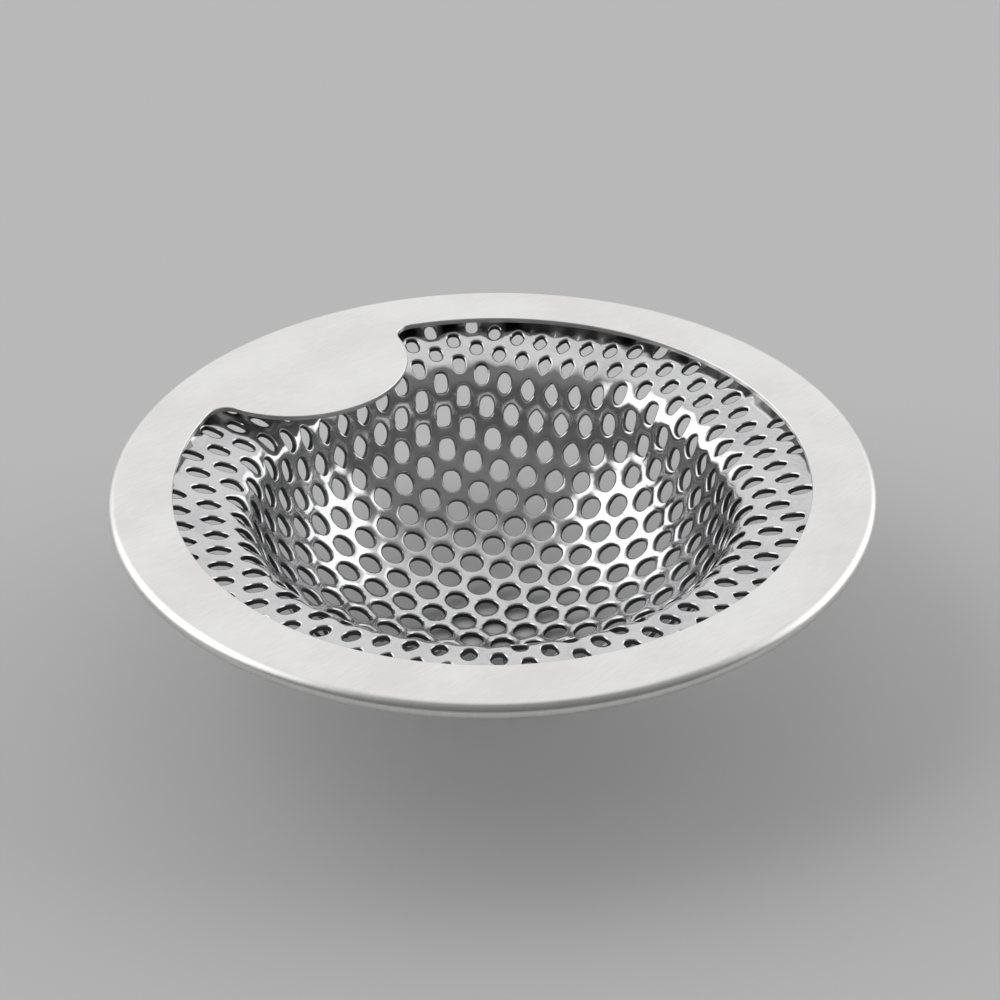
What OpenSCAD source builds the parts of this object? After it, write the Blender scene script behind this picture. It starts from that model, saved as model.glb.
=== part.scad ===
// Sink basket strainer: a flat rim ring with a rolled outer edge and a finger tab,
// crimped round the flange of a deep-drawn perforated bowl.
// Frame: Z up, the bowl stands on z = 0, the finger tab points along +Y, millimetres.

/* [Rim ring] */

// outside diameter of the rim, over the rolled edge
rim_d = 80; // [76:0.5:100]
// width of the ring, from the outside of the rolled edge to the round opening
rim_w = 6.7; // [6.3:0.05:8]
// thickness of the ring sheet
ring_t = 0.6; // [0.5:0.05:0.7]
// how far the folded leg of the rolled edge reaches in under the flange
leg_w = 2.2; // [1.2:0.1:2.8]

/* [Finger tab] */

// radius of the round end of the finger tab
tab_r = 12.1; // [8:0.1:15]
// how far inside the edge of the opening the tab centre lies
tab_in = 0.9; // [-0.7:0.1:3.3]
// radius of the relief notches where the tab meets the opening
notch_r = 2.1; // [0.8:0.1:3]

/* [Bowl] */

// height from the bottom of the bowl to the top face of the rim
height = 20.7; // [18.5:0.1:26]
// thickness of the bowl sheet
bowl_t = 0.6; // [0.5:0.05:0.7]
// inside radius of the shallow crown at the bottom
crown_r = 34; // [30:0.5:40]
// slope angle at which the crown runs into the corner
crown_a = 29; // [24:1:31]
// inside radius of the corner between the crown and the wall
corner_r = 17; // [15:0.25:18]
// slope angle of the side wall
wall_a = 71; // [66:1:74]
// radius of the outward bend at the mouth of the bowl, on its top face
bend_r = 4; // [3:0.1:4.6]
// slope angle of the shoulder between the bend and the step
shoulder_a = 8; // [4:1:10]
// width of the flat flange that the rim ring holds
flange_w = 3.8; // [3.35:0.05:4.25]
// radius of the two small bends of the step, at mid thickness
step_r = 0.9; // [0.8:0.05:1.1]
// steepest slope angle of the step
step_a = 50; // [40:1:54]

/* [Perforation] */

// diameter of a hole at the middle of the bottom
hole_d = 2.45; // [1.6:0.05:2.6]
// spacing of neighbouring holes at the middle of the bottom
hole_pitch = 3.4; // [3.3:0.05:4.2]
// extra stretch of the drawn sheet near the bend, as a share of its length
draw = 0.055; // [0.03:0.005:0.08]
// radius in the flat sheet at which that stretch is reached
draw_f = 34; // [30:0.5:40]
// angle of one row of holes to the X axis
row_a = 2.7; // [0:0.1:30]
// shift of the hole pattern from the axis along X
shift_x = 0.6; // [-1.6:0.1:1.6]
// shift of the hole pattern from the axis along Y
shift_y = 0.6; // [-1.6:0.1:1.6]
// width of the plain band between the outermost hole centres and the flange
plain_w = 1.35; // [0.95:0.05:5]

/* [Hidden] */

$fn = 96;
// gap between the edge of the flange and the inside of the rolled edge
edge_gap = 0.15;
// smallest radius that a hole's place is divided by
eps = 0.01;
// straight stretches that stand for the crown, the corner and the bend
crown_n = 5;
corner_n = 5;
bend_n = 3;

// rolled edge
roll_r = ring_t + bowl_t / 2;
roll_x = rim_d / 2 - roll_r;
roll_z = height - roll_r;
flange_r = roll_x - edge_gap;
leg_r = roll_x - leg_w;

// round opening, the band of the ring that its outline cuts, and the tab in it
open_r = rim_d / 2 - rim_w;
band_w = 1.5;
plate_r = open_r + band_w;
tab_y = open_r - tab_in;

// finger tab notch: circle that crosses the opening and the tab by this much
cross = 0.02;
n_d0 = open_r - notch_r + cross;
n_d1 = tab_r + notch_r - cross;
n_y = (n_d0 * n_d0 - n_d1 * n_d1 + tab_y * tab_y) / (2 * tab_y);
n_x = sqrt(n_d0 * n_d0 - n_y * n_y);
// corner where the tab circle meets the opening circle, and how far past it the notch is cut
k_y = (open_r * open_r - tab_r * tab_r + tab_y * tab_y) / (2 * tab_y);
k_x = sqrt(open_r * open_r - k_y * k_y);
k_past = 1.08;

// bowl section at mid thickness, between the crown and the step up to the flange
step_d = 2 * (flange_r - flange_w);
perf_d = step_d - 2 * plain_w;
h_t = bowl_t / 2;
crown_m = crown_r + h_t;
bend_m = bend_r - h_t;
crown_z = crown_r + bowl_t;
ax = crown_m * sin(crown_a);
az = crown_z - crown_m * cos(crown_a);
flange_z = height - ring_t - h_t;
step_up = step_r * (1 + cos(shoulder_a) - 2 * cos(step_a));
step_out = step_r * (2 * sin(step_a) - sin(shoulder_a));
reach_x = step_d / 2 - ax - bend_m * (sin(wall_a) - sin(shoulder_a)) - step_out;
reach_z = flange_z - az - bend_m * (cos(shoulder_a) - cos(wall_a)) - step_up;
det = sin(wall_a - shoulder_a);

// the corner is rounded as far as the wall leaves room for a short straight stretch
wall_min = 0.4;
corner_most =
    (reach_z * cos(shoulder_a) - reach_x * sin(shoulder_a) - wall_min * det)
    / (cos(crown_a - shoulder_a) - cos(wall_a - shoulder_a));
corner_m = min(corner_r + h_t, corner_most);
c1 = [ax - corner_m * sin(crown_a), az + corner_m * cos(crown_a)];
bx = c1[0] + corner_m * sin(wall_a);
bz = c1[1] - corner_m * cos(wall_a);
run_x = reach_x - (bx - ax);
run_z = reach_z - (bz - az);
wall_l = (run_z * cos(shoulder_a) - run_x * sin(shoulder_a)) / det;
shoulder_l = (run_x * sin(wall_a) - run_z * cos(wall_a)) / det;
cx = bx + wall_l * cos(wall_a);
cz = bz + wall_l * sin(wall_a);
c2 = [cx + bend_m * sin(wall_a), cz - bend_m * cos(wall_a)];
dx = c2[0] - bend_m * sin(shoulder_a);
dz = c2[1] + bend_m * cos(shoulder_a);
ex = dx + shoulder_l * cos(shoulder_a);
ez = dz + shoulder_l * sin(shoulder_a);
c3 = [ex - step_r * sin(shoulder_a), ez + step_r * cos(shoulder_a)];
fx = c3[0] + step_r * sin(step_a);
fz = c3[1] - step_r * cos(step_a);
c4 = [fx + step_r * sin(step_a), fz - step_r * cos(step_a)];

// length along the section where each stretch ends
s_a = crown_m * crown_a * PI / 180;
s_b = s_a + corner_m * (wall_a - crown_a) * PI / 180;
s_c = s_b + wall_l;
s_d = s_c + bend_m * (wall_a - shoulder_a) * PI / 180;
s_e = s_d + shoulder_l;
s_f = s_e + step_r * (step_a - shoulder_a) * PI / 180;
s_g = s_f + step_r * step_a * PI / 180;

// rows of holes on each side of the middle one, and length of the tool that cuts a hole
row_n = floor(s_e / (hole_pitch * sqrt(3) / 2));
cut_l = 2.6 * bowl_t;

// slope, radius and height of the section at length s from the axis
function slope_at(s) =
    s < s_a ? s / crown_m * 180 / PI :
    s < s_b ? crown_a + (s - s_a) / corner_m * 180 / PI :
    s < s_c ? wall_a :
    s < s_d ? wall_a - (s - s_c) / bend_m * 180 / PI :
    s < s_e ? shoulder_a :
    s < s_f ? shoulder_a + (s - s_e) / step_r * 180 / PI :
    s < s_g ? step_a - (s - s_f) / step_r * 180 / PI : 0;

function point_at(s, q) =
    s < s_a ? [crown_m * sin(q), crown_z - crown_m * cos(q)] :
    s < s_b ? [c1[0] + corner_m * sin(q), c1[1] - corner_m * cos(q)] :
    s < s_c ? [bx + (s - s_b) * cos(q), bz + (s - s_b) * sin(q)] :
    s < s_d ? [c2[0] - bend_m * sin(q), c2[1] + bend_m * cos(q)] :
    s < s_e ? [dx + (s - s_d) * cos(q), dz + (s - s_d) * sin(q)] :
    s < s_f ? [c3[0] + step_r * sin(q), c3[1] - step_r * cos(q)] :
    s < s_g ? [c4[0] - step_r * sin(q), c4[1] + step_r * cos(q)] :
    [step_d / 2 + s - s_g, flange_z];

// stretch of the drawn sheet: flat radius to length along the section
function drawn(f) = f * (1 + draw * (f / draw_f) * (f / draw_f));

// lengths at which the section has a corner
corners = concat(
    [for (i = [0 : crown_n]) s_a * i / crown_n],
    [for (i = [1 : corner_n]) s_a + (s_b - s_a) * i / corner_n],
    [s_c],
    [for (i = [1 : bend_n]) s_c + (s_d - s_c) * i / bend_n],
    [s_e, s_f, s_g, s_g + flange_r - step_d / 2]
);

// point at a distance above the middle of the sheet
function off_middle(s, d) =
    let (q = slope_at(s), p = point_at(s, q))
    [max(0, p[0] - d * sin(q)), p[1] + d * cos(q)];

module bowl_section() {
    polygon(concat(
        [for (s = corners) off_middle(s, -h_t)],
        [for (i = [len(corners) - 1 : -1 : 0]) off_middle(corners[i], h_t)]
    ));
}

// one straight row of holes in the flat sheet, carried on to the drawn bowl
module hole_row(j) {
    v = j * hole_pitch * sqrt(3) / 2;
    n = ceil(s_e / hole_pitch) + abs(j);
    for (i = [-n : n]) {
        u = (i + j / 2) * hole_pitch;
        x = u * cos(row_a) - v * sin(row_a) + shift_x;
        y = u * sin(row_a) + v * cos(row_a) + shift_y;
        f = sqrt(x * x + y * y);
        q = slope_at(drawn(f));
        p = point_at(drawn(f), q);
        if (p[0] < perf_d / 2)
            rotate([0, 0, atan2(y, x)])
                translate([p[0], 0, p[1]])
                    rotate([0, -q, 0])
                        cylinder(
                            h = cut_l,
                            d = hole_d * sqrt(min(1, p[0] / max(f, eps))),
                            center = true
                        );
    }
}

// outline of the opening with the finger tab standing in it
module opening_outline() {
    difference() {
        circle(open_r);
        translate([0, tab_y])
            circle(tab_r);
        for (m = [0, 1])
            mirror([m, 0])
                difference() {
                    polygon([
                        [n_x, n_y],
                        [n_x, n_y] + 2 * notch_r * [n_x, n_y] / n_d0,
                        [k_x, k_y] * k_past,
                        [n_x, n_y] + 2 * notch_r * [-n_x, tab_y - n_y] / n_d1
                    ]);
                    translate([n_x, n_y])
                        circle(notch_r);
                }
    }
}

module rim_ring() {
    color([0.86, 0.86, 0.87])
        union() {
            translate([0, 0, height - ring_t])
                linear_extrude(height = ring_t)
                    difference() {
                        circle(plate_r);
                        opening_outline();
                    }
            rotate_extrude()
                union() {
                    translate([plate_r, height - ring_t])
                        square([roll_x - plate_r, ring_t]);
                    translate([roll_x, roll_z])
                        intersection() {
                            difference() {
                                circle(roll_r);
                                circle(h_t);
                            }
                            translate([0, -roll_r])
                                square([roll_r, 2 * roll_r]);
                        }
                    translate([leg_r, height - 2 * roll_r])
                        square([leg_w, ring_t]);
                }
        }
}

module perforated_basket() {
    color([0.62, 0.63, 0.65])
        difference() {
            rotate_extrude()
                bowl_section();
            for (j = [-row_n : row_n])
                hole_row(j);
        }
}

rim_ring();
perforated_basket();
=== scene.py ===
"""Sink basket strainer: a satin rim ring with a finger tab, hemmed round a polished perforated bowl.

Every length is in metres unless a name ends in _mm. The bowl stands on z = 0, its axis is Z and
the finger tab points along +Y.
"""

from __future__ import annotations

import logging
import math
from dataclasses import dataclass, field
from enum import Enum
from typing import Any

import bpy
import numpy as np
from mathutils import Matrix, Vector

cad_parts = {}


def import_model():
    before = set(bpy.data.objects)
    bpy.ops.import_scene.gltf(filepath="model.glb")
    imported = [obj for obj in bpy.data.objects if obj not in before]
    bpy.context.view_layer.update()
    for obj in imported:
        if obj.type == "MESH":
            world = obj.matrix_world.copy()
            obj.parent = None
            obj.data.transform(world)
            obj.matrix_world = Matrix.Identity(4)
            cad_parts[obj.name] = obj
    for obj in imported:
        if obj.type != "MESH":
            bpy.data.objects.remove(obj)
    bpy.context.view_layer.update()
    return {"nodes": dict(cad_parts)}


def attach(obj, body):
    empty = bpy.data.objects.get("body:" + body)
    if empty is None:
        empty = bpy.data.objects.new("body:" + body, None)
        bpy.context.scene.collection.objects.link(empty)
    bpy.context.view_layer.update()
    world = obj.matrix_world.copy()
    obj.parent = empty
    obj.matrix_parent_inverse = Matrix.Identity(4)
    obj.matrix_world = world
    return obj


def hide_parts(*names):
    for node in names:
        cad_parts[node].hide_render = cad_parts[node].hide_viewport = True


LOG = logging.getLogger("strainer")
CUT_NAME = "punched_cut"
MM = 0.001


# ---------------------------------------------------------------- shader maths


class Value:
    """A shader socket that takes part in Python arithmetic through Math nodes."""

    def __init__(self, graph: "Graph", socket: bpy.types.NodeSocket) -> None:
        """Wraps one output socket.

        Args:
            graph: the graph that the socket is in.
            socket: the output socket.
        """
        self.graph = graph
        self.socket = socket

    def math(self, operation: str, *others: "Value | float", clamp: bool = False) -> "Value":
        """Adds one Math node with this value as its first input.

        Args:
            operation: the Math node's operation.
            others: the second and third inputs.
            clamp: whether the result is held between 0 and 1.

        Returns:
            The node's result.
        """
        return self.graph.maths(operation, self, *others, clamp=clamp)

    def __add__(self, other: "Value | float") -> "Value":
        """Sum."""
        return self.math("ADD", other)

    def __radd__(self, other: float) -> "Value":
        """Sum with a number on the left."""
        return self.graph.maths("ADD", other, self)

    def __sub__(self, other: "Value | float") -> "Value":
        """Difference."""
        return self.math("SUBTRACT", other)

    def __rsub__(self, other: float) -> "Value":
        """Difference with a number on the left."""
        return self.graph.maths("SUBTRACT", other, self)

    def __mul__(self, other: "Value | float") -> "Value":
        """Product."""
        return self.math("MULTIPLY", other)

    def __rmul__(self, other: float) -> "Value":
        """Product with a number on the left."""
        return self.graph.maths("MULTIPLY", other, self)

    def __truediv__(self, other: "Value | float") -> "Value":
        """Quotient."""
        return self.math("DIVIDE", other)

    def power(self, exponent: float) -> "Value":
        """This value raised to a power."""
        return self.math("POWER", exponent)

    def ramp(self, low: float, high: float) -> "Value":
        """Smooth step that runs from 0 at low to 1 at high.

        Args:
            low: value at which the step starts.
            high: value at which the step ends.

        Returns:
            The smooth step.
        """
        return self.graph.make(
            "ShaderNodeMapRange",
            {"interpolation_type": "SMOOTHSTEP"},
            {"Value": self, "From Min": low, "From Max": high},
        )


class Graph:
    """The node tree of a material or of the world."""

    def __init__(self, tree: bpy.types.NodeTree) -> None:
        """Empties the tree.

        Args:
            tree: the node tree that is filled.
        """
        self.tree = tree
        tree.nodes.clear()

    def put(self, socket: bpy.types.NodeSocket, given: Any) -> None:
        """Links a value to an input socket, or sets its number or colour.

        Args:
            socket: the input socket.
            given: a Value, a number, or a tuple.
        """
        if isinstance(given, Value):
            self.tree.links.new(given.socket, socket)
        else:
            socket.default_value = given

    def node(self, kind: str, settings: dict[str, Any], inputs: dict[str | int, Any]) -> bpy.types.Node:
        """Makes any node.

        Args:
            kind: the node's type.
            settings: attributes that are set first, such as operation; stops fills a colour ramp.
            inputs: values or links, by socket name or number.

        Returns:
            The new node.
        """
        made = self.tree.nodes.new(kind)
        for name, what in settings.items():
            if name == "stops":
                ramp = made.color_ramp
                while len(ramp.elements) < len(what):
                    ramp.elements.new(1.0)
                for element, (place, colour) in zip(ramp.elements, what):
                    element.position = place
                    element.color = colour
            else:
                setattr(made, name, what)
        for name, what in inputs.items():
            self.put(made.inputs[name], what)
        return made

    def make(
        self,
        kind: str,
        settings: dict[str, Any] | None = None,
        inputs: dict[str | int, Any] | None = None,
        output: str | int = 0,
    ) -> Value:
        """Makes any node and gives one of its outputs.

        Args:
            kind: the node's type.
            settings: attributes that are set first.
            inputs: values or links, by socket name or number.
            output: name or number of the output.

        Returns:
            The output as a Value.
        """
        return Value(self, self.node(kind, settings or {}, inputs or {}).outputs[output])

    def maths(self, operation: str, *inputs: Value | float, clamp: bool = False) -> Value:
        """Adds one Math node.

        Args:
            operation: the node's operation.
            inputs: its inputs, in order.
            clamp: whether the result is held between 0 and 1.

        Returns:
            The node's result.
        """
        return self.make(
            "ShaderNodeMath",
            {"operation": operation, "use_clamp": clamp},
            dict(enumerate(inputs)),
        )

    def noise(self, place: Value, scale: float, detail: float = 2.0, rough: float = 0.5) -> Value:
        """Noise between about 0 and 1.

        Args:
            place: the coordinates.
            scale: cells per metre.
            detail: number of finer layers.
            rough: strength of the finer layers.

        Returns:
            The noise's height.
        """
        return self.make(
            "ShaderNodeTexNoise",
            {"noise_dimensions": "3D"},
            {"Vector": place, "Scale": scale, "Detail": detail, "Roughness": rough},
        )

    def stretch(self, place: Value, scale: tuple[float, float, float]) -> Value:
        """Coordinates scaled by axis.

        Args:
            place: the coordinates.
            scale: the scale along each axis.

        Returns:
            The scaled coordinates.
        """
        return self.make("ShaderNodeMapping", {}, {"Vector": place, "Scale": scale})

    def blend(self, share: Value, low: Any, high: Any) -> Value:
        """Colour between two colours.

        Args:
            share: 0 for the low colour, 1 for the high colour.
            low: a colour or a Value.
            high: a colour or a Value.

        Returns:
            The mixed colour.
        """
        made = self.node("ShaderNodeMix", {"data_type": "RGBA"}, {0: share, 6: low, 7: high})
        return Value(self, made.outputs[2])

    def bump(self, height: Value, distance: float, strength: float, normal: Value | None = None) -> Value:
        """Normal tilted by a height.

        Args:
            height: the height, in units of distance.
            distance: the height of one unit, in metres.
            strength: share of the tilt that is used.
            normal: a normal that this one starts from.

        Returns:
            The tilted normal.
        """
        inputs: dict[str | int, Any] = {"Height": height, "Distance": distance, "Strength": strength}
        if normal is not None:
            inputs["Normal"] = normal
        return self.make("ShaderNodeBump", {}, inputs)


def new_material(name: str) -> tuple[bpy.types.Material, Graph]:
    """Makes a material with an empty node tree.

    Args:
        name: the material's name.

    Returns:
        The material and its graph.
    """
    material = bpy.data.materials.new(name)
    material.use_nodes = True
    return material, Graph(material.node_tree)


@dataclass(frozen=True)
class SatinSteel:
    """Fine satin stainless sheet: pale, soft reflections, a very fine grain and faint cloudiness."""

    tone: tuple[float, float, float, float] = (0.80, 0.795, 0.79, 1.0)
    dull_tone: tuple[float, float, float, float] = (0.72, 0.71, 0.705, 1.0)
    roughness: float = 0.36
    grain_per_m: float = 9000.0
    cloud_per_m: float = 90.0

    def material(self) -> bpy.types.Material:
        """Makes the material.

        Returns:
            The satin steel.
        """
        material, g = new_material("satin_steel")
        place = g.make("ShaderNodeTexCoord", output="Object")
        grain = g.noise(place, self.grain_per_m, 2.0, 0.6)
        lines = g.noise(g.stretch(place, (1.0, 14.0, 1.0)), 520.0, 3.0, 0.6)
        cloud = g.noise(place, self.cloud_per_m, 3.0, 0.55)
        colour = g.blend((cloud * 0.6 + lines * 0.4).ramp(0.35, 0.62), self.dull_tone, self.tone)
        rough = (grain - 0.5) * 0.10 + (cloud - 0.5) * 0.10 + self.roughness
        normal = g.bump(grain, 0.004 * MM, 0.5)
        shader = g.make(
            "ShaderNodeBsdfPrincipled",
            {},
            {"Base Color": colour, "Metallic": 1.0, "Roughness": rough, "Normal": normal},
        )
        g.node("ShaderNodeOutputMaterial", {}, {"Surface": shader})
        return material


@dataclass(frozen=True)
class PolishedSteel:
    """Polished stainless sheet: near-mirror, with the faint ripple and rubbing that drawing leaves; the punched hole
    walls are rougher and carry a near-black painted shade.
    """

    tone: tuple[float, float, float, float] = (0.62, 0.62, 0.625, 1.0)
    dull_tone: tuple[float, float, float, float] = (0.50, 0.50, 0.51, 1.0)
    # near-black painted shade for the punched hole walls, standing in for the shadow and dark reflections inside each
    # hole
    painted_wall_shade_tone: tuple[float, float, float, float] = (0.07, 0.07, 0.075, 1.0)
    roughness: float = 0.12
    ripple_per_m: float = 420.0
    peel_per_m: float = 2600.0

    def material(self) -> bpy.types.Material:
        """Makes the material.

        Returns:
            The polished steel.
        """
        material, g = new_material("polished_steel")
        place = g.make("ShaderNodeTexCoord", output="Object")
        ripple = g.noise(place, self.ripple_per_m, 2.0, 0.5)
        peel = g.noise(place, self.peel_per_m, 3.0, 0.6)
        rub = g.noise(place, 160.0, 4.0, 0.6)
        cut = g.make("ShaderNodeAttribute", {"attribute_name": CUT_NAME}, output="Fac").ramp(0.2, 0.8)
        face = g.blend((rub * 0.7 + peel * 0.3).ramp(0.3, 0.6), self.dull_tone, self.tone)
        # The punched hole walls get the near-black painted shade; their extra roughness below is the real rougher cut
        # face.
        colour = g.blend(cut, face, self.painted_wall_shade_tone)
        rough = (rub - 0.5) * 0.10 + (peel - 0.5) * 0.05 + self.roughness + cut * 0.4
        broad = g.bump(ripple, 0.06 * MM, 0.6)
        fine = g.bump(peel, 0.006 * MM, 0.5, broad)
        shader = g.make(
            "ShaderNodeBsdfPrincipled",
            {},
            {"Base Color": colour, "Metallic": 1.0, "Roughness": rough, "Normal": fine},
        )
        g.node("ShaderNodeOutputMaterial", {}, {"Surface": shader})
        return material


@dataclass(frozen=True)
class PaleFloor:
    """Matt pale paper under the object."""

    tone: tuple[float, float, float, float] = (0.62, 0.625, 0.62, 1.0)

    def material(self) -> bpy.types.Material:
        """Makes the material.

        Returns:
            The matt floor.
        """
        material, g = new_material("pale_floor")
        shader = g.make(
            "ShaderNodeBsdfPrincipled", {}, {"Base Color": self.tone, "Roughness": 0.9, "Specular IOR Level": 0.1}
        )
        g.node("ShaderNodeOutputMaterial", {}, {"Surface": shader})
        return material


# ---------------------------------------------------------------- meshes


@dataclass
class MeshParts:
    """Vertices, faces and vertex normals that are gathered before they become one mesh."""

    points: list[np.ndarray] = field(default_factory=list)
    normals: list[np.ndarray] = field(default_factory=list)
    shares: list[np.ndarray] = field(default_factory=list)
    faces: list[np.ndarray] = field(default_factory=list)
    count: int = 0

    def add_points(self, points: np.ndarray, normals: np.ndarray, cut: float = 0.0) -> np.ndarray:
        """Adds vertices.

        Args:
            points: array that ends in 3 columns.
            normals: array of the same shape.
            cut: 1 where the surface was cut by the punch, 0 on the sheet's own face.

        Returns:
            The vertices' numbers, in the shape of the array without its last axis.
        """
        shape = points.shape[:-1]
        number = int(np.prod(shape))
        self.points.append(points.reshape(-1, 3))
        self.normals.append(normals.reshape(-1, 3))
        self.shares.append(np.full(number, cut))
        index = np.arange(self.count, self.count + number).reshape(shape)
        self.count += number
        return index

    def add_faces(self, faces: np.ndarray) -> None:
        """Adds faces, an array of vertex numbers with 3 or 4 columns."""
        self.faces.append(faces.reshape(-1, faces.shape[-1]))

    def piece(self, name: str, material: bpy.types.Material) -> bpy.types.Object:
        """Makes the object, smooth, with the gathered normals.

        Args:
            name: the piece's name.
            material: its finish.

        Returns:
            The new object, at the origin.
        """
        points = np.concatenate(self.points)
        normals = np.concatenate(self.normals)
        normals /= np.linalg.norm(normals, axis=1, keepdims=True)
        sizes = np.concatenate([np.full(len(f), f.shape[1]) for f in self.faces])
        corners = np.concatenate([f.ravel() for f in self.faces])
        starts = np.concatenate([[0], np.cumsum(sizes)[:-1]])
        mesh = bpy.data.meshes.new(name)
        mesh.vertices.add(len(points))
        mesh.vertices.foreach_set("co", points.ravel())
        mesh.loops.add(len(corners))
        mesh.loops.foreach_set("vertex_index", corners)
        mesh.polygons.add(len(sizes))
        mesh.polygons.foreach_set("loop_start", starts)
        mesh.polygons.foreach_set("use_smooth", np.ones(len(sizes), bool))
        mesh.update(calc_edges=True)
        mesh.validate()
        mesh.normals_split_custom_set_from_vertices(normals)
        cut = mesh.attributes.new(CUT_NAME, "FLOAT", "POINT")
        cut.data.foreach_set("value", np.concatenate(self.shares))
        mesh.materials.append(material)
        made = bpy.data.objects.new(name, mesh)
        bpy.context.scene.collection.objects.link(made)
        return made


def band_faces(first: np.ndarray, second: np.ndarray) -> np.ndarray:
    """Quads between two closed rows of vertices.

    Args:
        first: vertex numbers, rows along the last axis.
        second: vertex numbers of the same shape.

    Returns:
        The quads (first m, first m+1, second m+1, second m).
    """
    return np.stack([first, np.roll(first, -1, -1), np.roll(second, -1, -1), second], axis=-1)


@dataclass
class BowlSection:
    """Half section of the drawn bowl at the middle of its sheet, as arcs and straight lines.

    A place on it is the length s from the axis; its slope rises over the crown and the corner to the
    wall, falls over the bend to the shoulder, and goes up and down once more over the step.
    """

    height: float = 20.7 * MM
    sheet: float = 0.6 * MM
    ring_sheet: float = 0.6 * MM
    crown_r: float = 34.0 * MM
    crown_a: float = math.radians(29.0)
    corner_r: float = 17.0 * MM
    wall_a: float = math.radians(71.0)
    bend_r: float = 4.0 * MM
    shoulder_a: float = math.radians(8.0)
    step_d: float = 70.3 * MM
    step_r: float = 0.9 * MM
    step_a: float = math.radians(50.0)
    flange_r: float = 38.95 * MM
    draw: float = 0.0435
    draw_f: float = 34.0 * MM
    slip: tuple[float, float] = (0.06 * MM, 0.24 * MM)
    twist: tuple[float, float] = (0.026, -0.036)

    def __post_init__(self) -> None:
        """Works out where each stretch starts, and the centres of its arcs."""
        half = self.sheet / 2
        self.r_crown, self.r_corner, self.r_bend = self.crown_r + half, self.corner_r + half, self.bend_r - half
        self.top = self.crown_r + self.sheet
        sin, cos = math.sin, math.cos
        a, w, h, t = self.crown_a, self.wall_a, self.shoulder_a, self.step_a
        start = np.array([self.r_crown * sin(a), self.top - self.r_crown * cos(a)])
        self.corner_c = start + self.r_corner * np.array([-sin(a), cos(a)])
        self.wall_from = self.corner_c + self.r_corner * np.array([sin(w), -cos(w)])
        flange_z = self.height - self.ring_sheet - half
        step_up = self.step_r * (1 + cos(h) - 2 * cos(t))
        step_out = self.step_r * (2 * sin(t) - sin(h))
        run_x = self.step_d / 2 - self.wall_from[0] - self.r_bend * (sin(w) - sin(h)) - step_out
        run_z = flange_z - self.wall_from[1] - self.r_bend * (cos(h) - cos(w)) - step_up
        wall = (run_z * cos(h) - run_x * sin(h)) / sin(w - h)
        shoulder = (run_x * sin(w) - run_z * cos(w)) / sin(w - h)
        wall_to = self.wall_from + wall * np.array([cos(w), sin(w)])
        self.bend_c = wall_to + self.r_bend * np.array([sin(w), -cos(w)])
        self.shoulder_from = self.bend_c + self.r_bend * np.array([-sin(h), cos(h)])
        shoulder_to = self.shoulder_from + shoulder * np.array([cos(h), sin(h)])
        self.rise_c = shoulder_to + self.step_r * np.array([-sin(h), cos(h)])
        crest = self.rise_c + self.step_r * np.array([sin(t), -cos(t)])
        self.fall_c = crest + self.step_r * np.array([sin(t), -cos(t)])
        self.flange_z = flange_z
        lengths = [
            self.r_crown * a,
            self.r_corner * (w - a),
            wall,
            self.r_bend * (w - h),
            shoulder,
            self.step_r * (t - h),
            self.step_r * t,
            self.flange_r - self.step_d / 2,
        ]
        self.ends = np.cumsum(lengths)

    def slope(self, s: np.ndarray) -> np.ndarray:
        """Slope angle of the section at length s."""
        e = self.ends
        flat = np.zeros_like(s)
        return np.select(
            [s < e[0], s < e[1], s < e[2], s < e[3], s < e[4], s < e[5], s < e[6]],
            [
                s / self.r_crown,
                self.crown_a + (s - e[0]) / self.r_corner,
                flat + self.wall_a,
                self.wall_a - (s - e[2]) / self.r_bend,
                flat + self.shoulder_a,
                self.shoulder_a + (s - e[4]) / self.step_r,
                self.step_a - (s - e[5]) / self.step_r,
            ],
            flat,
        )

    def radius_height(self, s: np.ndarray) -> tuple[np.ndarray, np.ndarray]:
        """Radius and height of the middle of the sheet at length s.

        Args:
            s: lengths along the section.

        Returns:
            The radii and the heights.
        """
        e, q = self.ends, self.slope(s)
        sin, cos = np.sin(q), np.cos(q)
        when = [s < e[0], s < e[1], s < e[2], s < e[3], s < e[4], s < e[5], s < e[6]]
        radius = np.select(
            when,
            [
                self.r_crown * sin,
                self.corner_c[0] + self.r_corner * sin,
                self.wall_from[0] + (s - e[1]) * cos,
                self.bend_c[0] - self.r_bend * sin,
                self.shoulder_from[0] + (s - e[3]) * cos,
                self.rise_c[0] + self.step_r * sin,
                self.fall_c[0] - self.step_r * sin,
            ],
            self.step_d / 2 + s - e[6],
        )
        height = np.select(
            when,
            [
                self.top - self.r_crown * cos,
                self.corner_c[1] - self.r_corner * cos,
                self.wall_from[1] + (s - e[1]) * sin,
                self.bend_c[1] + self.r_bend * cos,
                self.shoulder_from[1] + (s - e[3]) * sin,
                self.rise_c[1] - self.step_r * cos,
                self.fall_c[1] + self.step_r * cos,
            ],
            self.flange_z,
        )
        return radius, height

    def drawn(self, f: np.ndarray) -> np.ndarray:
        """Length along the section that a flat radius f becomes: f (1 + draw (f / draw_f)^2)."""
        return f * (1 + self.draw * (f / self.draw_f) ** 2)

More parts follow.
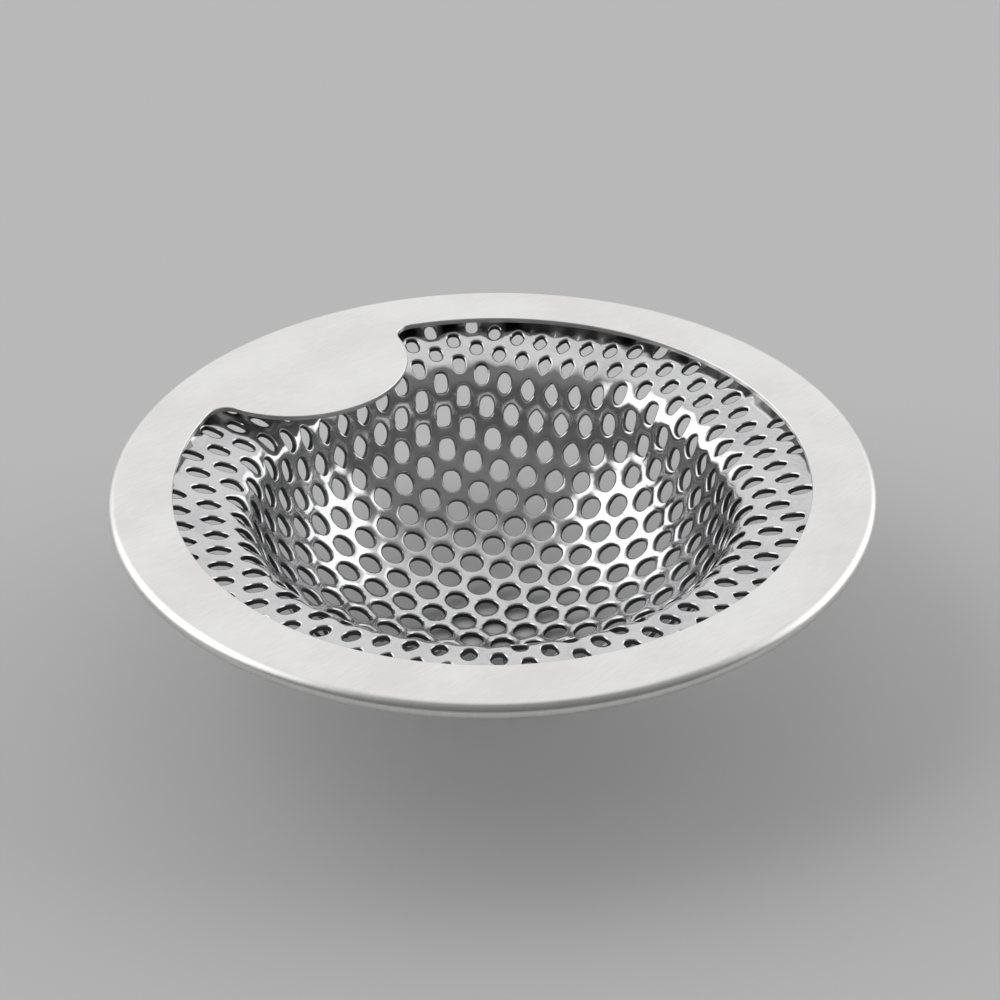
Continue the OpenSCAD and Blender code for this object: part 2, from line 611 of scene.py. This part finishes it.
    def place(self, flat: np.ndarray, above: np.ndarray | float) -> tuple[np.ndarray, np.ndarray, np.ndarray]:
        """Carries points of the flat sheet on to the drawn bowl.

        A flat point's distance from the axis becomes a length along the section, and it is then
        moved along the sheet's normal. The sheet was drawn in unevenly: lengths and directions
        also slip by an amount that grows with the cube of the distance and turns once round.

        Args:
            flat: points of the flat sheet, two columns.
            above: distance above the middle of the sheet.

        Returns:
            The points, the sheet's normals there, and whether each lies past the flange's edge.
        """
        f = np.hypot(flat[..., 0], flat[..., 1])
        safe = np.maximum(f, 1e-9)
        ux, uy = flat[..., 0] / safe, flat[..., 1] / safe
        cube = (f / self.draw_f) ** 3
        s = self.drawn(f) + (self.slip[0] * ux + self.slip[1] * uy) * cube
        turn = (self.twist[0] * ux + self.twist[1] * uy) * cube
        ux, uy = ux * np.cos(turn) - uy * np.sin(turn), uy * np.cos(turn) + ux * np.sin(turn)
        past = s >= self.ends[-1]
        s = np.minimum(s, self.ends[-1])
        q = self.slope(s)
        radius, height = self.radius_height(s)
        radius = radius - above * np.sin(q)
        height = height + above * np.cos(q)
        points = np.stack([radius * ux, radius * uy, height], axis=-1)
        normals = np.stack([-np.sin(q) * ux, -np.sin(q) * uy, np.cos(q)], axis=-1)
        return points, normals, past


@dataclass
class PerforatedBowl:
    """The drawn bowl: a flat sheet with a triangular pattern of punched holes, pressed into shape."""

    section: BowlSection = field(default_factory=BowlSection)
    pitch: float = 3.435 * MM
    hole_d: float = 2.45 * MM
    row_a: float = math.radians(2.6)
    shift: tuple[float, float] = (0.64 * MM, 0.65 * MM)
    perf_r: float = 33.8 * MM
    roll_over: float = 0.24 * MM
    roll_depth: float = 0.17 * MM
    burr_edge: float = 0.05 * MM
    squareness: float = 0.42
    lengthening: float = 0.05
    full_strain_f: float = 27.0 * MM
    narrowing: float = 0.24
    shortening: float = 0.10
    squeezed_f: tuple[float, float] = (17.0 * MM, 34.0 * MM)
    sides: int = 18

    def cell_centres(self) -> np.ndarray:
        """Centres of the cells of the flat sheet, one for each point of the triangular lattice.

        Returns:
            The centres, two columns.
        """
        reach = 16
        j, i = np.meshgrid(np.arange(-reach, reach + 1), np.arange(-2 * reach, 2 * reach + 1), indexing="ij")
        u = (i + j / 2) * self.pitch
        v = j * self.pitch * math.sqrt(3) / 2
        c, s = math.cos(self.row_a), math.sin(self.row_a)
        centres = np.stack([u * c - v * s + self.shift[0], u * s + v * c + self.shift[1]], axis=-1).reshape(-1, 2)
        edge = np.interp(
            self.section.ends[-1],
            self.section.drawn(np.linspace(0, 0.05, 500)),
            np.linspace(0, 0.05, 500),
        )
        keep = np.hypot(*centres.T) < edge + self.pitch / math.sqrt(3)
        return centres[keep]

    def directions(self) -> np.ndarray:
        """Directions of a cell's points from its centre; every third one is a corner of the cell."""
        return self.row_a + math.radians(30) + 2 * math.pi * np.arange(self.sides) / self.sides

    def ring(self, centres: np.ndarray, radii: np.ndarray) -> np.ndarray:
        """Flat points round each centre.

        Args:
            centres: the cells' centres.
            radii: distance from the centre for each side, for all cells or for each.

        Returns:
            The points, cells by sides by 2.
        """
        turn = self.directions()
        out = np.stack([np.cos(turn), np.sin(turn)], axis=-1)
        return centres[:, None, :] + out[None] * np.broadcast_to(radii, (len(centres), self.sides))[..., None]

    def hole_radii(self, centres: np.ndarray) -> np.ndarray:
        """Flat radii of the punched holes, which strain makes squarish or pointed by turns.

        The outline is the curve |x / a|^n + |y / b|^n = 1 with x along the pull of the draw. n rises
        above 2 where the pull runs along a row of holes and falls below 2 half way between two rows.
        a and b fall from 1 on the bottom towards the shoulder, where the sheet was squeezed together.

        Args:
            centres: the holes' centres.

        Returns:
            The radii, holes by sides.
        """
        f, around = np.hypot(*centres.T), np.arctan2(centres[:, 1], centres[:, 0])
        strain = np.clip(f / self.full_strain_f, 0, 1) ** 3 * np.cos(6 * (around - self.row_a))
        n = 2 * np.exp(self.squareness * strain)[:, None]
        local = self.directions()[None] - around[:, None]
        low, high = self.squeezed_f
        squeeze = np.clip((f - low) / (high - low), 0, 1.2)[:, None]
        along = np.abs(np.cos(local) / (1 - self.shortening * squeeze))
        across = np.abs(np.sin(local) / (1 - self.narrowing * squeeze))
        outline = (along**n + across**n) ** (-1 / n)
        return self.hole_d / 2 * outline * (1 - self.lengthening * strain)[:, None]

    def inward(self, centres: np.ndarray, flat: np.ndarray) -> np.ndarray:
        """Directions on the drawn bowl from points round a hole towards its middle.

        Args:
            centres: the cells' centres.
            flat: flat points, cells by sides by 2.

        Returns:
            Unit vectors, cells by sides by 3.
        """
        here, _, _ = self.section.place(flat, 0.0)
        middle = np.broadcast_to(centres[:, None, :], flat.shape)
        nearer, _, _ = self.section.place(flat + 0.2 * (middle - flat), 0.0)
        way = nearer - here
        return way / np.linalg.norm(way, axis=-1, keepdims=True)

    def build(self, material: bpy.types.Material) -> bpy.types.Object:
        """Makes the perforated sheet with both faces, rounded hole edges and hole walls.

        The flat sheet is cut into the six-sided cells of the lattice. Each cell is a set of rows of
        vertices, from its six-sided border over the top face, down the hole and out over the under
        side to the border again; borders are shared by neighbours.

        Args:
            material: the sheet's finish.

        Returns:
            The piece.
        """
        half = self.section.sheet / 2
        centres = self.cell_centres()
        angle = self.directions() - self.row_a
        border_r = self.pitch / 2 / np.cos((angle + math.radians(30)) % math.radians(60) - math.radians(30))
        border = self.ring(centres, border_r)
        key = np.round(border.reshape(-1, 2) / (1e-3 * MM)).astype(np.int64)
        _, first, shared = np.unique(key, axis=0, return_index=True, return_inverse=True)
        shared = shared.reshape(border.shape[:2])
        flat = border.reshape(-1, 2)[first]
        parts = MeshParts()
        top, up, past = self.section.place(flat, half)
        low, _, _ = self.section.place(flat, -half)
        top_i = parts.add_points(top, up)[shared]
        low_i = parts.add_points(low, -up)[shared]
        under = int(low_i.min() - top_i.min())

        middle_s = self.section.drawn(np.hypot(*centres.T))
        radius, _ = self.section.radius_height(np.minimum(middle_s, self.section.ends[-1]))
        holed = (radius < self.perf_r) & (middle_s < self.section.ends[-2])
        holes = centres[holed]
        radii = self.hole_radii(holes)
        # The last column marks the punched hole walls: the material makes them rougher and paints them near-black as
        # painted shade.
        rows = [
            (self.roll_over, half, 0.12, 0.0),
            (0.29 * self.roll_over, half - 0.29 * self.roll_depth, 0.785, 0.0),
            (0.0, half - self.roll_depth, 1.571, 1.0),
            (0.0, self.burr_edge - half, 1.571, 1.0),
            (self.burr_edge, -half, 3.142, 0.0),
        ]
        last = top_i[holed]
        for reach, above, turn, cut in rows:
            ring = self.ring(holes, radii + reach)
            points, normal, _ = self.section.place(ring, above)
            way = self.inward(holes, ring)
            row = parts.add_points(points, normal * math.cos(turn) + way * math.sin(turn), cut)
            parts.add_faces(band_faces(last, row))
            last = row
        parts.add_faces(band_faces(last, low_i[holed]))

        solid = centres[~holed]
        mid_top, mid_up, mid_past = self.section.place(solid, half)
        mid_low, _, _ = self.section.place(solid, -half)
        c_top = parts.add_points(mid_top, mid_up)
        c_low = parts.add_points(mid_low, -mid_up)
        ring_top = top_i[~holed]
        nxt = np.roll(ring_top, -1, -1)
        hub = np.broadcast_to(c_top[:, None], ring_top.shape)
        gone = past[shared[~holed]] & past[np.roll(shared[~holed], -1, -1)] & mid_past[:, None]
        fans = np.stack([ring_top, nxt, hub], axis=-1)[~gone]
        hub_low = np.broadcast_to(c_low[:, None], ring_top.shape)
        fans_low = np.stack([nxt + under, ring_top + under, hub_low], axis=-1)[~gone]
        parts.add_faces(fans)
        parts.add_faces(fans_low)

        shift_hub = int(c_low[0] - c_top[0])
        rim_edges = self.open_edges(np.concatenate([fans[:, [0, 1]], fans[:, [1, 2]], fans[:, [2, 0]], np.stack([top_i[holed].ravel(), np.roll(top_i[holed], -1, -1).ravel()], axis=-1)]))
        below = np.where(rim_edges >= c_top[0], rim_edges + shift_hub, rim_edges + under)
        parts.add_faces(np.stack([rim_edges[:, 1], rim_edges[:, 0], below[:, 0], below[:, 1]], axis=-1))
        LOG.info("bowl: %d holes, %d plain cells", len(holes), len(solid))
        return parts.piece("perforated_bowl", material)

    @staticmethod
    def open_edges(edges: np.ndarray) -> np.ndarray:
        """Directed edges whose opposite isn't in the list.

        Args:
            edges: vertex numbers, two columns.

        Returns:
            The edges on the outside.
        """
        big = int(edges.max()) + 1
        ahead = edges[:, 0] * big + edges[:, 1]
        back = edges[:, 1] * big + edges[:, 0]
        return edges[~np.isin(ahead, back)]


@dataclass
class RimRing:
    """The flat rim: one sheet with a round opening and finger tab, its outer edge folded under."""

    rim_d: float = 80.0 * MM
    opening_d: float = 66.6 * MM
    sheet: float = 0.6 * MM
    bowl_sheet: float = 0.6 * MM
    leg_w: float = 2.2 * MM
    tab_r: float = 12.1 * MM
    tab_y: float = 32.4 * MM
    notch_r: float = 2.1 * MM
    height: float = 20.7 * MM
    edge_r: float = 0.14 * MM

    def outline(self) -> tuple[np.ndarray, np.ndarray, np.ndarray]:
        """Outline of the opening: the tab's arc, a notch's arc, and the opening's arc, then their mirror.

        Returns:
            The points, the unit normals into the sheet, and the angle at which each point's line
            meets the rolled edge.
        """
        r_open, tab = self.opening_d / 2, np.array([0.0, self.tab_y])
        d0, d1 = r_open - self.notch_r, self.tab_r + self.notch_r
        ny = (d0**2 - d1**2 + self.tab_y**2) / (2 * self.tab_y)
        notch = np.array([math.sqrt(d0**2 - ny**2), ny])
        tab_to = math.atan2(notch[1] - tab[1], notch[0])
        notch_from = math.atan2(tab[1] - notch[1], -notch[0])
        notch_to = math.atan2(notch[1], notch[0])
        a = np.linspace(-math.pi / 2, tab_to, 35)[:-1]
        b = np.linspace(notch_from, notch_to, 15)[:-1]
        c = np.linspace(notch_to, -math.pi / 2, 111)
        tab_points = tab + self.tab_r * np.stack([np.cos(a), np.sin(a)], axis=-1)
        notch_points = notch + self.notch_r * np.stack([np.cos(b), np.sin(b)], axis=-1)
        open_points = r_open * np.stack([np.cos(c), np.sin(c)], axis=-1)
        points = np.concatenate([tab_points, notch_points, open_points])
        normals = np.concatenate(
            [
                -np.stack([np.cos(a), np.sin(a)], axis=-1),
                np.stack([np.cos(b), np.sin(b)], axis=-1),
                np.stack([np.cos(c), np.sin(c)], axis=-1),
            ]
        )
        run = np.concatenate([[0], np.cumsum(np.linalg.norm(np.diff(points[: len(a) + len(b) + 1], axis=0), axis=1))])
        share = run / run[-1]
        meets = np.concatenate([math.pi / 2 + (notch_to - math.pi / 2) * share[:-1], c])
        flip = np.array([-1.0, 1.0])
        points = np.concatenate([points, points[-2:0:-1] * flip])
        normals = np.concatenate([normals, normals[-2:0:-1] * flip])
        meets = np.concatenate([meets, math.pi - meets[-2:0:-1]])
        return points, normals, meets

    def build(self, material: bpy.types.Material) -> bpy.types.Object:
        """Makes the ring as one closed sheet section carried round the outline.

        Args:
            material: the ring's finish.

        Returns:
            The piece.
        """
        inner, into, meets = self.outline()
        radial = np.stack([np.cos(meets), np.sin(meets)], axis=-1)
        roll_r = self.sheet + self.bowl_sheet / 2
        roll_x = self.rim_d / 2 - roll_r
        roll_z, top = self.height - roll_r, self.height
        e, t = self.edge_r, self.sheet
        parts = MeshParts()
        rows: list[np.ndarray] = []

        def add(flat: np.ndarray, z: float, side: np.ndarray, turn: float) -> None:
            """Adds a row at height z whose normal is turned from +Z towards side by turn."""
            points = np.concatenate([flat, np.full((len(flat), 1), z)], axis=1)
            normals = np.concatenate([side * math.sin(turn), np.full((len(flat), 1), math.cos(turn))], axis=1)
            rows.append(parts.add_points(points, normals))

        start = inner + into * e
        hem = radial * roll_x
        for share in (1.0, 0.8, 0.55, 0.3, 0.12, 0.0):
            add(start + (hem - start) * share, top, -into, 0.0)
        for turn in np.radians([22.5, 45, 67.5, 90]):
            add(inner + into * e * (1 - math.sin(turn)), top - e * (1 - math.cos(turn)), -into, turn)
        for turn in np.radians([90, 135, 180]):
            add(inner + into * e * (1 - math.sin(turn)), top - t + e * (1 + math.cos(turn)), -into, turn)
        for share in (0.3, 0.65, 1.0):
            add(start + (hem - start) * share, top - t, -into, math.pi)
        for turn in np.radians([30, 60, 90, 120, 150, 180]):
            gap = self.bowl_sheet / 2
            add(radial * (roll_x + gap * math.sin(turn)), roll_z + gap * math.cos(turn), -radial, math.pi - turn)
        leg_r = roll_x - self.leg_w
        add(radial * (leg_r + 0.1 * MM), roll_z - self.bowl_sheet / 2, radial, 0.0)
        for turn in np.radians([45, 90, 135, 180]):
            add(radial * (leg_r + 0.1 * MM * (1 - math.sin(turn))), roll_z - self.bowl_sheet / 2 - t / 2 + t / 2 * math.cos(turn), -radial, turn)
        add(radial * (roll_x - 0.02 * MM), self.height - 2 * roll_r, radial, math.pi)
        for turn in np.linspace(math.pi, 0, 19)[:-1]:
            add(radial * (roll_x + roll_r * math.sin(turn)), roll_z + roll_r * math.cos(turn), radial, turn)
        grid = np.array(rows)
        parts.add_faces(band_faces(np.roll(grid, -1, 0), grid))
        LOG.info("rim ring: %d columns, %d rows", grid.shape[1], grid.shape[0])
        return parts.piece("satin_rim", material)


# ---------------------------------------------------------------- studio


@dataclass
class Studio:
    """Camera, pale floor and surroundings, with a lamp maker that build doesn't call."""

    aim: tuple[float, float, float] = (0.0, 0.0, 20.7 * MM)
    distance: float = 292.58 * MM
    azimuth: float = math.radians(-41.4)
    elevation: float = 0.56818
    roll: float = -0.01111
    focal_px: float = 2801.0
    aim_px: tuple[float, float] = (492.52, 474.81)
    sensor_mm: float = 36.0
    frame_px: float = 1000.0

    def camera(self) -> None:
        """Makes the camera: it looks at the aim, then pans and tilts it to its place in the frame, and rolls."""
        a, e = self.azimuth, self.elevation
        back = Vector((math.sin(a) * math.cos(e), -math.cos(a) * math.cos(e), math.sin(e)))
        right = Vector((math.cos(a), math.sin(a), 0.0))
        up = back.cross(right)
        half = self.frame_px / 2
        pan = math.atan2(self.aim_px[0] - half, self.focal_px)
        tilt = math.atan2(self.aim_px[1] - half, self.focal_px)
        x_axis = math.cos(pan) * right - math.sin(pan) * back
        y_axis = (
            math.sin(tilt) * math.sin(pan) * right + math.cos(tilt) * up + math.sin(tilt) * math.cos(pan) * back
        )
        c, s = math.cos(self.roll), math.sin(self.roll)
        across, upward = c * x_axis + s * y_axis, -s * x_axis + c * y_axis
        behind = across.cross(upward)
        data = bpy.data.cameras.new("camera")
        data.sensor_width = self.sensor_mm
        data.lens = self.focal_px * self.sensor_mm / self.frame_px
        data.clip_start, data.clip_end = 0.01, 20.0
        made = bpy.data.objects.new("camera", data)
        bpy.context.scene.collection.objects.link(made)
        turn = Matrix((across, upward, behind)).transposed().to_4x4()
        made.matrix_world = Matrix.Translation(Vector(self.aim) + back * self.distance) @ turn
        bpy.context.scene.camera = made

    def floor(self) -> None:
        """Makes the floor, a large flat square."""
        grid = np.linspace(-1.5, 1.5, 5)
        x, y = np.meshgrid(grid, grid)
        points = np.stack([x.ravel(), y.ravel(), np.full(x.size, -0.02 * MM)], axis=-1)
        index = np.arange(25).reshape(5, 5)
        faces = np.stack([index[:-1, :-1], index[:-1, 1:], index[1:, 1:], index[1:, :-1]], axis=-1).reshape(-1, 4)
        mesh = bpy.data.meshes.new("floor")
        mesh.from_pydata(points.tolist(), [], faces.tolist())
        mesh.materials.append(PaleFloor().material())
        made = bpy.data.objects.new("floor", mesh)
        bpy.context.scene.collection.objects.link(made)

    def lamp(self, name: str, place: tuple[float, float, float], size: tuple[float, float], power: float) -> None:
        """Makes one soft rectangular lamp that faces the object.

        Args:
            name: the lamp's name.
            place: its position.
            size: its width and height.
            power: its power in watts.
        """
        data = bpy.data.lights.new(name, "AREA")
        data.shape = "RECTANGLE"
        data.size, data.size_y = size
        data.energy = power
        made = bpy.data.objects.new(name, data)
        bpy.context.scene.collection.objects.link(made)
        way = Vector(place) - Vector((0.0, 0.0, 0.01))
        made.matrix_world = Matrix.Translation(Vector(place)) @ way.to_track_quat("Z", "Y").to_matrix().to_4x4()

    def towards(self, turn: float, rise: float) -> tuple[float, float, float]:
        """Unit vector at an angle round from the camera's side, positive to its right, and an elevation."""
        a, e = self.azimuth + math.radians(turn), math.radians(rise)
        return (math.sin(a) * math.cos(e), -math.cos(a) * math.cos(e), math.sin(e))

    def surroundings(self) -> None:
        """Fills the world: a grey room with a pale wall behind and a bright panel on each side."""
        world = bpy.data.worlds.new("room")
        bpy.context.scene.world = world
        world.use_nodes = True
        g = Graph(world.node_tree)
        way = g.make("ShaderNodeTexCoord", output="Generated")

        def panel(turn: float, rise: float, inner: float, outer: float, strength: float) -> Value:
            """Round soft-edged panel, full within the inner angle and gone past the outer one."""
            near = g.make(
                "ShaderNodeVectorMath", {"operation": "DOT_PRODUCT"}, {0: way, 1: self.towards(turn, rise)}, "Value"
            )
            return near.ramp(math.cos(math.radians(outer)), math.cos(math.radians(inner))) * strength

        left = panel(-106, 32, 27, 38, 1.7)
        right = panel(116, 20, 24, 36, 1.6)
        back = panel(180, 28, 20, 75, 0.85)
        high = panel(180, 90, 30, 80, 0.12)
        level = left.math("MAXIMUM", right).math("MAXIMUM", back).math("MAXIMUM", high) + 0.13
        colour = g.make("ShaderNodeCombineColor", {}, {"Red": level, "Green": level, "Blue": level})
        shader = g.make("ShaderNodeBackground", {}, {"Color": colour, "Strength": 1.0})
        g.node("ShaderNodeOutputWorld", {}, {"Surface": shader})

    def build(self) -> None:
        """Makes everything round the object."""
        self.camera()
        self.floor()
        self.surroundings()
        LOG.info("studio ready")


def main() -> None:
    """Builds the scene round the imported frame, piece by piece."""
    logging.basicConfig(level=logging.INFO, format="%(name)s: %(message)s")
    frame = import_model()
    view = bpy.context.scene.view_settings
    view.view_transform = "Standard"
    Studio().build()
    for piece, node, slot in (
        (RimRing().build(SatinSteel().material()), "rim_ring", "satin_steel"),
        (PerforatedBowl().build(PolishedSteel().material()), "perforated_basket", "polished_steel"),
    ):
        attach(piece, "root")
        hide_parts(node)
        LOG.info("%s replaces %s (%d nodes in the frame)", piece.name, node, len(frame["nodes"]))


if __name__ == "__main__":
    main()
